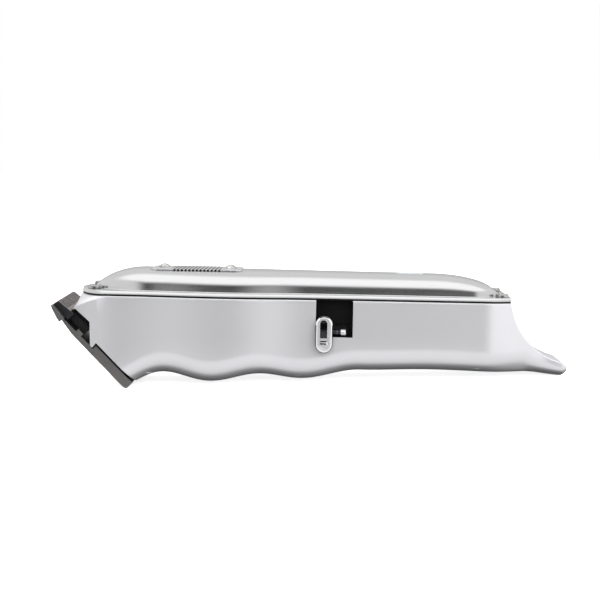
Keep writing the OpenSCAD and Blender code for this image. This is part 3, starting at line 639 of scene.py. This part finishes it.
def finishes():
    """Every finish of the trimmer by name, made once."""
    if "Silver lacquered zinc casting" in bpy.data.materials:
        return {m["finish"]: m for m in bpy.data.materials if "finish" in m}
    c = bpy.context.scene.trimmer_colours
    made = {
        # Die-cast zinc, bead blasted and silver lacquered: soft grey sheen with a fine sparkle.
        # The 0.05 mm blasting grain is drawn at 0.35 mm to show, over faint patches 9 mm across.
        "body": finish("Silver lacquered zinc casting", c.body, 0.85, (0.3, 0.35), 0.35, 0.96,
                       relief=0.004, blotch=9, edge=0.3),
        # Pressed steel with satin chrome, polished along its length: clear reflections and faint streaks.
        # The polish is finer than 0.1 mm, and its streaks are drawn 0.5 mm wide to show.
        "cover": finish("Satin chromed steel pressing", c.cover, 1.0, (0.2, 0.25), 0.5, 0.97,
                        stretch=(0.06, 1, 1), relief=0.0004, edge=0.15),
        # Polished chrome on turned brass: near mirror, with dulled patches about 2 mm across.
        "chrome": finish("Polished chrome", c.bright, 1.0, (0.05, 0.16), 0.9, second="#77716C", blotch=2,
                         edge=0.08),
        # Satin chrome on the thumb switch: a pale, soft front with faint patches 3 mm across.
        "button": finish("Satin chromed zinc", c.bright, 0.82, (0.12, 0.2), 0.8, 0.97, blotch=3, edge=0.1),
        # Painted shade for the thumb recess and the pill's lower rim: dark chrome, with soft reflections in
        # patches of 2 mm.
        "pill_painted_shade": finish("Black chrome", "#3B3B3E", 1.0, (0.12, 0.3), 0.7, 0.6, blotch=2),
        # Nickel-plated steel screws: bright, with a grain of 0.25 mm and darker worn patches of 1.5 mm.
        "screw": finish("Nickel plated screw steel", "#DEDEDC", 1.0, (0.12, 0.24), 0.25, relief=0.003,
                        edge=0.08, second="#6A6866", blotch=1.5),
        # Brushed and enamelled aluminium plate: black strokes 1.1 mm apart, only between the rivets.
        # The brushing is finer than 0.1 mm, and is drawn 0.4 mm wide to show.
        "plate": striped(finish("Brushed enamelled aluminium plate", "#D4D4D6", 0.9, (0.22, 0.34), 0.4, 0.9,
                                stretch=(0.08, 1, 1), relief=0.002), 1.1, 2, "#1C1C1E", 0.58,
                         span=(-41.6, -27.6)),
        # Tool steel, surface ground across the edge: mid grey with fine straight streaks.
        # The grinding lines are about 0.1 mm apart, and are drawn 0.4 mm apart to show.
        "blade": finish("Ground tool steel", c.blade, 1.0, (0.24, 0.38), 0.4, 0.78, stretch=(1, 0.5, 1),
                        relief=0.004, blotch=6, edge=0.05),
        # Painted reflection: the cutter's steel is tinted pinkish brown, a haze in patches of 4 mm.
        "cutter": finish("Heat tinted cutter steel", c.cutter, 1.0, (0.26, 0.42), 0.3, 0.78,
                         relief=0.005, second="#8C7F7C", blotch=4, edge=0.15),
        # Painted shade: the rear of the cutter is painted near black, so the gap behind the teeth is dark.
        "cutter_painted_shade": finish("Blackened cutter steel", "#1C1B1C", 0.6, (0.4, 0.55), 0.3, 0.8, relief=0.004),
        # Moulded silicone seal: deep black and dull, with a slight mould skin of 0.6 mm.
        "seal": finish("Black silicone rubber", c.seal, 0.0, (0.5, 0.66), 0.6, 0.8, relief=0.003,
                       sockets={"Specular IOR Level": 0.15}),
        # Clear acrylic light pipe: pale and see-through, frosted with a grain of 0.4 mm.
        "lens": finish("Frosted acrylic", "#DCE6EA", 0.0, (0.2, 0.32), 0.4, 0.97, relief=0.002,
                       sockets={"Transmission Weight": 0.55, "IOR": 1.49}),
        # Moulded glass-filled nylon: charcoal with a faint grain of 0.5 mm.
        "nylon": finish("Glass filled black nylon", "#131315", 0.0, (0.42, 0.58), 0.5, 0.72, relief=0.006,
                        edge=0.1),
        # Unfilled white nylon of the drive hub: slightly waxy, with cloudy patches of 1.2 mm.
        "white_nylon": finish("Natural nylon", "#DAD8CE", 0.0, (0.34, 0.46), 1.2, 0.95, relief=0.003,
                              sockets={"Subsurface Weight": 0.05}),
        # Blued spring steel: dark grey with a blue cast and rolling streaks 0.5 mm wide.
        "spring": finish("Blued spring steel", "#7C7D80", 1.0, (0.25, 0.4), 0.5, 0.8, stretch=(1, 0.08, 1),
                         relief=0.002, second="#595C64", edge=0.05),
        # Black-oxide countersunk screws: oily dark grey with a grain of 0.4 mm.
        "oxide": finish("Black oxide steel", "#55565A", 1.0, (0.3, 0.45), 0.4, 0.8, relief=0.003, edge=0.06),
        # Zinc-plated deep-drawn can: pale with spangled patches about 2 mm across.
        "can": finish("Zinc plated motor steel", "#C4C6CA", 1.0, (0.24, 0.4), 2.0, 0.86, relief=0.002,
                      edge=0.1),
        # Sintered ferrite: matt dark grey, granular at 0.3 mm.
        "ferrite": finish("Sintered ferrite", "#3C3C40", 0.15, (0.6, 0.75), 0.3, 0.75, relief=0.01),
        # Machined brass and bronze: warm yellow with turning marks 0.25 mm wide round the axis.
        "brass": finish("Machined brass", "#C9A24E", 1.0, (0.2, 0.34), 0.25, 0.85, stretch=(1, 0.1, 0.1),
                        relief=0.003, edge=0.06),
        # Enamelled copper wire: orange brown bands, one wire 0.35 mm wide.
        "winding": striped(finish("Enamelled copper windings", "#A85B2C", 0.85, (0.25, 0.4), 0.4, 0.8,
                                  relief=0.01), 0.35, 0, "#6B3113", 0.35),
        # Drawn copper: orange, slightly oxidised in patches of 0.4 mm.
        "copper": finish("Drawn copper", "#C27A55", 1.0, (0.24, 0.4), 0.4, 0.8, relief=0.002),
        # Ground shaft steel: bright grey with rings 0.3 mm wide round its axis.
        "shaft": finish("Ground shaft steel", "#C8C8CA", 1.0, (0.12, 0.22), 0.3, 0.88,
                        stretch=(1, 0.1, 0.1), relief=0.001, edge=0.05),
        # Shrunk PVC sleeve: glossy blue with faint ripples every 4 mm.
        "sleeve": finish("Blue shrink sleeve", "#2456A8", 0.0, (0.2, 0.32), 4.0, 0.85, relief=0.05),
        # Rolled nickel strip: soft sheen with streaks 0.4 mm wide.
        "nickel": finish("Rolled nickel strip", "#BDBAB2", 1.0, (0.22, 0.34), 0.4, 0.88, stretch=(1, 1, 0.08),
                         relief=0.002),
        # Glass-epoxy board under green solder mask, tracks 0.9 mm apart.
        "board": striped(finish("Green solder mask", "#1D6B3A", 0.0, (0.25, 0.38), 0.5, 0.85, relief=0.004),
                         0.9, 0, "#155530", 0.4, axis="Y"),
        # Moulded epoxy chip bodies: matt black with a grain of 0.3 mm.
        "chip": finish("Moulded epoxy", "#18181A", 0.0, (0.45, 0.6), 0.3, 0.75, relief=0.004, edge=0.05),
        # PVC wire insulation, red and black: a soft sheen with ripples of 0.8 mm.
        "red_wire": finish("Red wire insulation", "#B4231F", 0.0, (0.35, 0.48), 0.8, 0.85, relief=0.004),
        "black_wire": finish("Black wire insulation", "#151515", 0.0, (0.35, 0.48), 0.8, 0.8, relief=0.004),
    }
    for key, material in made.items():
        material["finish"] = key
    return made


NODE_FINISHES = {
    "lower_housing": "body", "top_cover": "cover", "cover_gasket": "seal", "nameplate": "plate",
    "nameplate_rivets": "chrome", "front_cover_screws": "screw", "rear_cover_screws": "screw",
    "led_lens": "lens", "fixed_blade": "blade", "cutter_blade": "cutter", "cutter_yoke": "nylon",
    "yoke_screws": "screw", "blade_screws": "oxide", "tension_spring": "spring", "spring_screw": "screw",
    "inner_chassis": "nylon", "chassis_screws": "screw", "motor_can": "can", "motor_magnets": "ferrite",
    "motor_end_cap": "nylon", "motor_bearings": "brass", "motor_terminals": "brass",
    "motor_screws": "screw", "armature": "winding", "commutator": "copper", "motor_shaft": "shaft",
    "eccentric": "white_nylon", "battery_cell": "sleeve", "battery_cradle": "nylon",
    "battery_tabs": "nickel", "cradle_screws": "screw", "circuit_board": "board",
    "board_components": "chip", "board_screws": "screw", "charge_socket": "nylon",
    "socket_sleeve": "brass", "switch_button": "chrome", "switch_stem": "nylon", "switch_rod": "shaft",
    "slide_switch": "nylon", "window_liner": "seal", "motor_leads": "red_wire",
    "battery_leads": "black_wire",
}


# ---- Operators ----

class TRIMMER_OT_finishes(bpy.types.Operator):
    """Gives every frame node its finish"""
    bl_idname = "trimmer.finishes"
    bl_label = "Finishes"

    def execute(self, context):
        made = finishes()
        for node, key in NODE_FINISHES.items():
            mesh = frame["nodes"][node].data
            if not mesh.materials:
                mesh.materials.append(made[key])
            for i in range(len(mesh.materials)):
                mesh.materials[i] = made[key]
        return {"FINISHED"}


class TRIMMER_OT_housing(bpy.types.Operator):
    """Builds the cast housing with its grooves, nose, tail, notch and switch window"""
    bl_idname = "trimmer.housing"
    bl_label = "Housing"

    def execute(self, context):
        shell = loft("housing_shell", housing_rings())
        cut(shell, box(*MOUTH))
        cut(shell, prism(NOTCH, -30, 30))
        cut(shell, box((WINDOW[0], -20, WINDOW[2]), (WINDOW[1], -13.5, SEAM + 1)))
        start = CAVITY_END - 1
        cut(shell, peg(((start + TAIL_END) / 2, 0, SOCKET_Z), SOCKET_R, TAIL_END - start, "X", 64))
        for x, y in both_sides(FRONT_SCREW) + both_sides(REAR_SCREW):
            cut(shell, peg((x, y, SEAM - 1.6), SCREW_BORE, 3.3, sides=24))
        soften(shell, 0, 30)
        posts = []
        for x in POSTS:
            low = bottom_z(x) + 1.2
            posts += [peg((x, y, (POST_TOP + low) / 2), POST_R, POST_TOP - low, sides=32)
                      for y in (-POST_SIDE, POST_SIDE)]
        shell = merge([shell] + posts, "housing_shell")
        place(shell, finishes()["body"], "lower_housing")
        return {"FINISHED"}


class TRIMMER_OT_cover(bpy.types.Operator):
    """Builds the domed cover with its flange, screw scallops and plate seat"""
    bl_idname = "trimmer.cover"
    bl_label = "Top cover"

    def execute(self, context):
        shell = loft("cover_shell", cover_rings())
        for spot, scallop in ((FRONT_SCREW, 2.2), (REAR_SCREW, 2.8)):
            for x, y in both_sides(spot):
                cut(shell, peg((x, y, FLANGE_TOP + 4), scallop, 8, sides=64))
                cut(shell, peg((x, y, FLANGE_TOP - 1), SCREW_BORE, 4, sides=24))
        cut(shell, box((PLATE[0], -PLATE[2], PLATE[3]), (PLATE[1], PLATE[2], PLATE[3] + 4)))
        for x in RIVETS:
            cut(shell, peg((x, 0, PLATE[3] - 1), RIVET_BORE, 4, sides=24))
        low, high = (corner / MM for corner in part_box("led_lens"))
        cut(shell, box((low.x - 0.1, low.y - 0.1, 30), (high.x + 0.1, high.y + 0.1, 36)))
        soften(shell, 0, 30)
        place(shell, finishes()["cover"], "top_cover")
        return {"FINISHED"}


class TRIMMER_OT_plate(bpy.types.Operator):
    """Builds the nameplate, its two dome rivets, the charge light and the seal"""
    bl_idname = "trimmer.plate"
    bl_label = "Nameplate and seal"

    def execute(self, context):
        made, edge = finishes(), context.scene.trimmer_shape.small_edge
        refined("nameplate", edge, made["plate"])
        refined("nameplate_rivets", 0, made["chrome"], 50)
        refined("led_lens", 0, made["lens"])
        refined("cover_gasket", 0, made["seal"], 30)
        return {"FINISHED"}


# A cover screw: its shank and head, and the reach, half width and depth of the cross cut in the head.
SHANK_R = 1.0
HEAD_R = 1.95
HEAD_RISE = 1.0
CROSS_ARM = 1.15
CROSS_HALF = 0.26
CROSS_DEPTH = 0.55


def pan_screw(x, y, z, length):
    """A pan-head screw with a cross recess, standing on z."""
    head = peg((x, y, z + HEAD_RISE / 2), HEAD_R, HEAD_RISE, sides=40)
    bpy.ops.object.mode_set(mode="EDIT")
    select_where(head, lambda at, n: n.z > 0.9)
    bpy.ops.mesh.bevel(offset=0.5 * MM, segments=5)
    bpy.ops.object.mode_set(mode="OBJECT")
    for turn in (20, 110):
        arm = box((x - CROSS_ARM, y - CROSS_HALF, z + HEAD_RISE - CROSS_DEPTH),
                  (x + CROSS_ARM, y + CROSS_HALF, z + 2 * HEAD_RISE))
        about = Matrix.Translation(Vector((x, y, 0)) * MM)
        arm.data.transform(about @ Matrix.Rotation(math.radians(turn), 4, "Z") @ about.inverted())
        cut(head, arm)
    soften(head, 0.06 * MM, 40)
    shank = peg((x, y, z - length / 2), SHANK_R, length, sides=24)
    return [head, shank]


class TRIMMER_OT_screws(bpy.types.Operator):
    """Builds the four cover screws"""
    bl_idname = "trimmer.screws"
    bl_label = "Cover screws"

    def execute(self, context):
        pairs = (("front_cover_screws", FRONT_SCREW, 4.4), ("rear_cover_screws", REAR_SCREW, 7.6))
        for node, spot, length in pairs:
            parts = [part for x, y in both_sides(spot) for part in pan_screw(x, y, FLANGE_TOP, length)]
            place(merge(parts, node + "_finished"), finishes()["screw"], node)
        return {"FINISHED"}


# How much each blade part is rounded, as a share of the small edge.
BLADE_PARTS = {"fixed_blade": 0.7, "cutter_blade": 0.6, "tension_spring": 0.3, "cutter_yoke": 1.5,
               "inner_chassis": 1.5, "blade_screws": 0.5, "yoke_screws": 0.5, "spring_screw": 0.5}
# The cutter keeps its own finish to this far behind the comb's tips; further back it is painted near black as
# shade.
CUTTER_TEETH = 6.0


class TRIMMER_OT_blades(bpy.types.Operator):
    """Builds the fixed comb, the moving cutter, its spring and their screws"""
    bl_idname = "trimmer.blades"
    bl_label = "Blade set"

    def execute(self, context):
        made, edge = finishes(), context.scene.trimmer_shape.small_edge
        for node, share in BLADE_PARTS.items():
            refined(node, share * edge, made[NODE_FINISHES[node]])
        cutter = bpy.data.objects["cutter_blade_finished"]
        cutter.data.materials.append(made["cutter_painted_shade"])
        cutter.data.materials.append(made["oxide"])
        for face in cutter.data.polygons:
            at = face.center / MM
            # Painted shade: faces further than CUTTER_TEETH behind the comb's tips get the near black painted
            # shade.
            behind_tips = ((at.x - TIP_X) - (at.z - TIP_Z)) * math.cos(BLADE_TURN)
            # Painted shade: the cutter's end faces, which face across the trimmer, get the dark oxide finish.
            painted_shade_end_face = abs(face.normal.y) > 0.8
            face.material_index = 1 if behind_tips > CUTTER_TEETH else 2 * int(painted_shade_end_face)
        return {"FINISHED"}


# The thumb recess: its radius, foot, depth and how far forward it lies. The grooves' feet are below it.
RECESS_R = 1.05
RECESS_LOW = 16.2
RECESS_DEPTH = 0.4
RECESS_SHIFT = 0.15
MARKS = (14.4, 15.1)


def thumb_pill(made):
    """The thumb switch: a rounded pill with a recess over two short grooves, the recess and the lower rim
    painted dark as shade.
    """
    low, high = (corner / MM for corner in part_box("switch_button"))
    pill = box(low, high)
    pill.name = "switch_pill"
    r = (high.x - low.x) / 2
    alone(pill)
    bpy.ops.object.mode_set(mode="EDIT")
    select_where(pill, lambda at, line: abs(line.y) > 1, "EDGE")
    bpy.ops.mesh.bevel(offset=(r - 0.02) * MM, segments=14, affect="EDGES")
    bpy.ops.object.mode_set(mode="OBJECT")
    middle, front = (low.x + high.x) / 2, low.y
    soften(pill, 0.5 * MM, 40, 5)
    recess_x, recess_top = middle - RECESS_SHIFT, high.z - 2.05
    cut(pill, peg((recess_x, front, recess_top), RECESS_R, 2 * RECESS_DEPTH, "Y", 32))
    cut(pill, box((recess_x - RECESS_R, front - 1, RECESS_LOW),
                  (recess_x + RECESS_R, front + RECESS_DEPTH, recess_top)))
    for z in MARKS:
        cut(pill, box((middle - 1.15, front - 1, z), (middle + 0.75, front + 0.2, z + 0.4)))
    soften(pill, 0, 30)
    place(pill, made["button"], "switch_button")
    pill.data.materials.append(made["pill_painted_shade"])
    # Painted shade: the recess and its grooves are painted dark as a dark reflection, and the lower rim as
    # the shadow where the pill meets the wall.
    for face in pill.data.polygons:
        at = face.center / MM
        painted_reflection_recess = abs(at.x - middle) < 1.3 and front + 0.15 < at.y < front + 0.45
        painted_shadow_rim = at.z < 18 and face.normal.y > -0.85
        face.material_index = int(painted_reflection_recess or painted_shadow_rim)


def switch_bar(made):
    """The blackened rod behind the switch, with a bright collar at its end and a ring beside it."""
    start, end = (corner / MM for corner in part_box("switch_rod"))
    middle = (start + end) / 2
    rod = peg(middle, end.z / 2 - start.z / 2, end.x - start.x, "X", 32)
    collar = peg((end.x - 0.8, middle.y, middle.z), 0.98, 1.5, "X", 32)
    ring = peg((end.x - 2.7, middle.y, middle.z), 0.92, 0.6, "X", 32)
    rod = soften(merge([rod, collar, ring], "switch_bar"), 0.08 * MM)
    place(rod, made["oxide"], "switch_rod")
    rod.data.materials.append(made["button"])
    rod.data.materials.append(made["spring"])
    for face in rod.data.polygons:
        x = face.center.x / MM
        on_ring = end.x - 3 < x < end.x - 2.4
        face.material_index = 1 if end.x - 1.5 < x < end.x - 0.1 else 2 * int(on_ring)


class TRIMMER_OT_switch(bpy.types.Operator):
    """Builds the chromed thumb switch, its rod and stem, and the charging socket"""
    bl_idname = "trimmer.switch"
    bl_label = "Switch and socket"

    def execute(self, context):
        made, edge = finishes(), context.scene.trimmer_shape.small_edge
        thumb_pill(made)
        switch_bar(made)
        for node in ("switch_stem", "slide_switch", "window_liner", "charge_socket", "socket_sleeve"):
            refined(node, edge, made[NODE_FINISHES[node]])
        return {"FINISHED"}


# Bands of soft light round the trimmer. Each is a product of ramps: the axis that a ramp runs along,
# where it starts and ends, and its brightness at both.
SKY = (
    (("Z", -0.12, -0.34, 0.07, 0.85), ("Y", 0.12, -0.2, 0.02, 1.0)),
    (("Z", 0.4, 0.9, 0.07, 1.4),),
    (("Y", 0.0, 0.5, 0.0, 0.85), ("Z", -0.1, 0.12, 0.02, 0.6), ("Z", 0.02, 0.35, 1.0, 1.6)),
    (("X", 0.05, 0.45, 0.0, 0.92), ("Z", -0.5, -0.2, 0.3, 1.0)),
    (("X", -0.2, -0.5, 0.0, 0.9), ("Z", -0.5, -0.2, 0.3, 1.0)),
)
# Each lamp's place and size in metres, and its power in watts. All of them face AIM.
LAMPS = {
    "top_softbox": ((0.0, -0.12, 0.55), (0.7, 0.5), 3.2),
    "front_softbox": ((0.1, -0.6, 0.3), (0.8, 0.4), 13.0),
    "right_softbox": ((0.6, -0.2, 0.15), (0.3, 0.3), 1.6),
}
AIM = Vector((0, 0, 0.02))
# The trimmer stands on the blade's heel and on the tail, which is this many millimetres higher.
HEEL_X = -54.0
TAIL_LIFT = 5.0
# The floor's width in metres.
FLOOR_SIZE = 12
# The camera's place in metres, how far it looks down, and how far it is rolled.
CAMERA_AT = (-0.0038, -0.498, 0.0703)
CAMERA_DOWN = math.radians(5.14)
CAMERA_ROLL = math.radians(1.15)


def studio_floor():
    """A wide pale board under the blade's heel and the tail."""
    alone()
    bpy.ops.mesh.primitive_grid_add(x_subdivisions=24, y_subdivisions=24, size=FLOOR_SIZE)
    floor = bpy.context.object
    floor.name = "studio_floor"
    tilt = math.atan2(TAIL_LIFT, TAIL_END - HEEL_X)
    heel = Matrix.Translation((HEEL_X * MM, 0, -0.1 * MM))
    floor.data.transform(heel @ Matrix.Rotation(-tilt, 4, "Y"))
    # Matt white painted board: even and pale, with a grain of about 3 mm, and lit a little from within
    # so that it stays white to its edges.
    board = bpy.data.materials.new("Matt white studio board")
    board.use_nodes = True
    tree = board.node_tree
    tree.nodes.clear()
    where = add(tree, "ShaderNodeTexCoord").outputs["Object"]
    grain = add(tree, "ShaderNodeTexNoise", None, {"Vector": where, "Scale": 300.0, "Detail": 2.0}).outputs[0]
    tone = add(tree, "ShaderNodeMix", {"data_type": "RGBA"},
               {0: grain, 6: rgba("#F6F6F6"), 7: rgba("#FBFBFB")}).outputs[2]
    shell = add(tree, "ShaderNodeBsdfPrincipled", None,
                {"Base Color": tone, "Roughness": 0.9, "Emission Color": rgba("#FFFFFF"),
                 "Emission Strength": 0.6})
    add(tree, "ShaderNodeOutputMaterial", None, {"Surface": shell.outputs[0]})
    floor.data.materials.append(board)
    floor.visible_glossy = False
    floor.visible_diffuse = False


def softboxes(scene):
    """The studio's rectangular lamps."""
    for name, (at, size, power) in LAMPS.items():
        lamp = bpy.data.lights.new(name, "AREA")
        lamp.shape = "RECTANGLE"
        lamp.size, lamp.size_y = size
        lamp.energy = power
        light = bpy.data.objects.new(name, lamp)
        scene.collection.objects.link(light)
        light.location = at
        light.visible_glossy = False
        light.rotation_euler = (AIM - Vector(at)).to_track_quat("-Z", "Y").to_euler()


def soft_sky(scene):
    """A white backdrop to the eye, and bands of light and dark for the metal to reflect."""
    world = bpy.data.worlds.new("Soft studio")
    scene.world = world
    world.use_nodes = True
    tree = world.node_tree
    tree.nodes.clear()
    facing = add(tree, "ShaderNodeTexCoord").outputs["Generated"]
    parts = add(tree, "ShaderNodeSeparateXYZ", None, {0: facing})
    glow = None
    for ramps in SKY:
        band = 1.0
        for axis, start, end, low, high in ramps:
            ramp = add(tree, "ShaderNodeMapRange", {"interpolation_type": "SMOOTHSTEP"},
                       {"Value": parts.outputs[axis], 1: start, 2: end, 3: low, 4: high}).outputs[0]
            band = add(tree, "ShaderNodeMath", {"operation": "MULTIPLY"}, {0: ramp, 1: band}).outputs[0]
        glow = band if glow is None else add(tree, "ShaderNodeMath", {"operation": "MAXIMUM"},
                                             {0: glow, 1: band}).outputs[0]
    lit = add(tree, "ShaderNodeBackground", None, {"Color": rgba("#FFFFFF"), "Strength": glow})
    plain = add(tree, "ShaderNodeBackground", None, {"Color": rgba("#FFFFFF"), "Strength": 1.0})
    seen = add(tree, "ShaderNodeLightPath").outputs["Is Camera Ray"]
    both = add(tree, "ShaderNodeMixShader", None, {0: seen, 1: lit.outputs[0], 2: plain.outputs[0]})
    add(tree, "ShaderNodeOutputWorld", None, {"Surface": both.outputs[0]})


def product_camera(scene):
    """A long lens, level with the trimmer's side and looking a little down."""
    lens = bpy.data.cameras.new("product_camera")
    lens.lens = 100
    lens.sensor_width = 36
    lens.clip_start = 0.02
    lens.clip_end = 50
    camera = bpy.data.objects.new("product_camera", lens)
    scene.collection.objects.link(camera)
    camera.matrix_world = (Matrix.Translation(CAMERA_AT)
                           @ Matrix.Rotation(math.radians(90) - CAMERA_DOWN, 4, "X")
                           @ Matrix.Rotation(CAMERA_ROLL, 4, "Z"))
    scene.camera = camera
    scene.view_settings.view_transform = "Standard"


class TRIMMER_OT_stage(bpy.types.Operator):
    """Builds the pale floor, the soft lights and the camera"""
    bl_idname = "trimmer.stage"
    bl_label = "Studio"

    def execute(self, context):
        studio_floor()
        softboxes(context.scene)
        soft_sky(context.scene)
        product_camera(context.scene)
        return {"FINISHED"}


class TRIMMER_PT_parts(bpy.types.Panel):
    """Lists the trimmer's steps, sizes and colours"""
    bl_idname = "TRIMMER_PT_parts"
    bl_label = "Hair Trimmer"
    bl_space_type = "VIEW_3D"
    bl_region_type = "UI"
    bl_category = "Trimmer"

    def draw(self, context):
        for step in STEPS:
            self.layout.operator(step.bl_idname)
        for group in (context.scene.trimmer_shape, context.scene.trimmer_colours):
            column = self.layout.column(align=True)
            for key in group.__annotations__:
                column.prop(group, key)


STEPS = (TRIMMER_OT_finishes, TRIMMER_OT_housing, TRIMMER_OT_cover, TRIMMER_OT_plate, TRIMMER_OT_screws,
         TRIMMER_OT_blades, TRIMMER_OT_switch, TRIMMER_OT_stage)
CLASSES = (TrimmerShape, TrimmerColours) + STEPS + (TRIMMER_PT_parts,)


def register():
    """Adds the trimmer's classes and its two groups of properties."""
    for kind in CLASSES:
        bpy.utils.register_class(kind)
    bpy.types.Scene.trimmer_shape = bpy.props.PointerProperty(type=TrimmerShape)
    bpy.types.Scene.trimmer_colours = bpy.props.PointerProperty(type=TrimmerColours)


def unregister():
    """Takes the classes and properties away again."""
    del bpy.types.Scene.trimmer_shape
    del bpy.types.Scene.trimmer_colours
    for kind in reversed(CLASSES):
        bpy.utils.unregister_class(kind)


def main():
    """Builds everything in order."""
    register()
    bpy.ops.trimmer.finishes()
    bpy.ops.trimmer.housing()
    bpy.ops.trimmer.cover()
    bpy.ops.trimmer.plate()
    bpy.ops.trimmer.screws()
    bpy.ops.trimmer.blades()
    bpy.ops.trimmer.switch()
    bpy.ops.trimmer.stage()


if __name__ == "__main__":
    main()
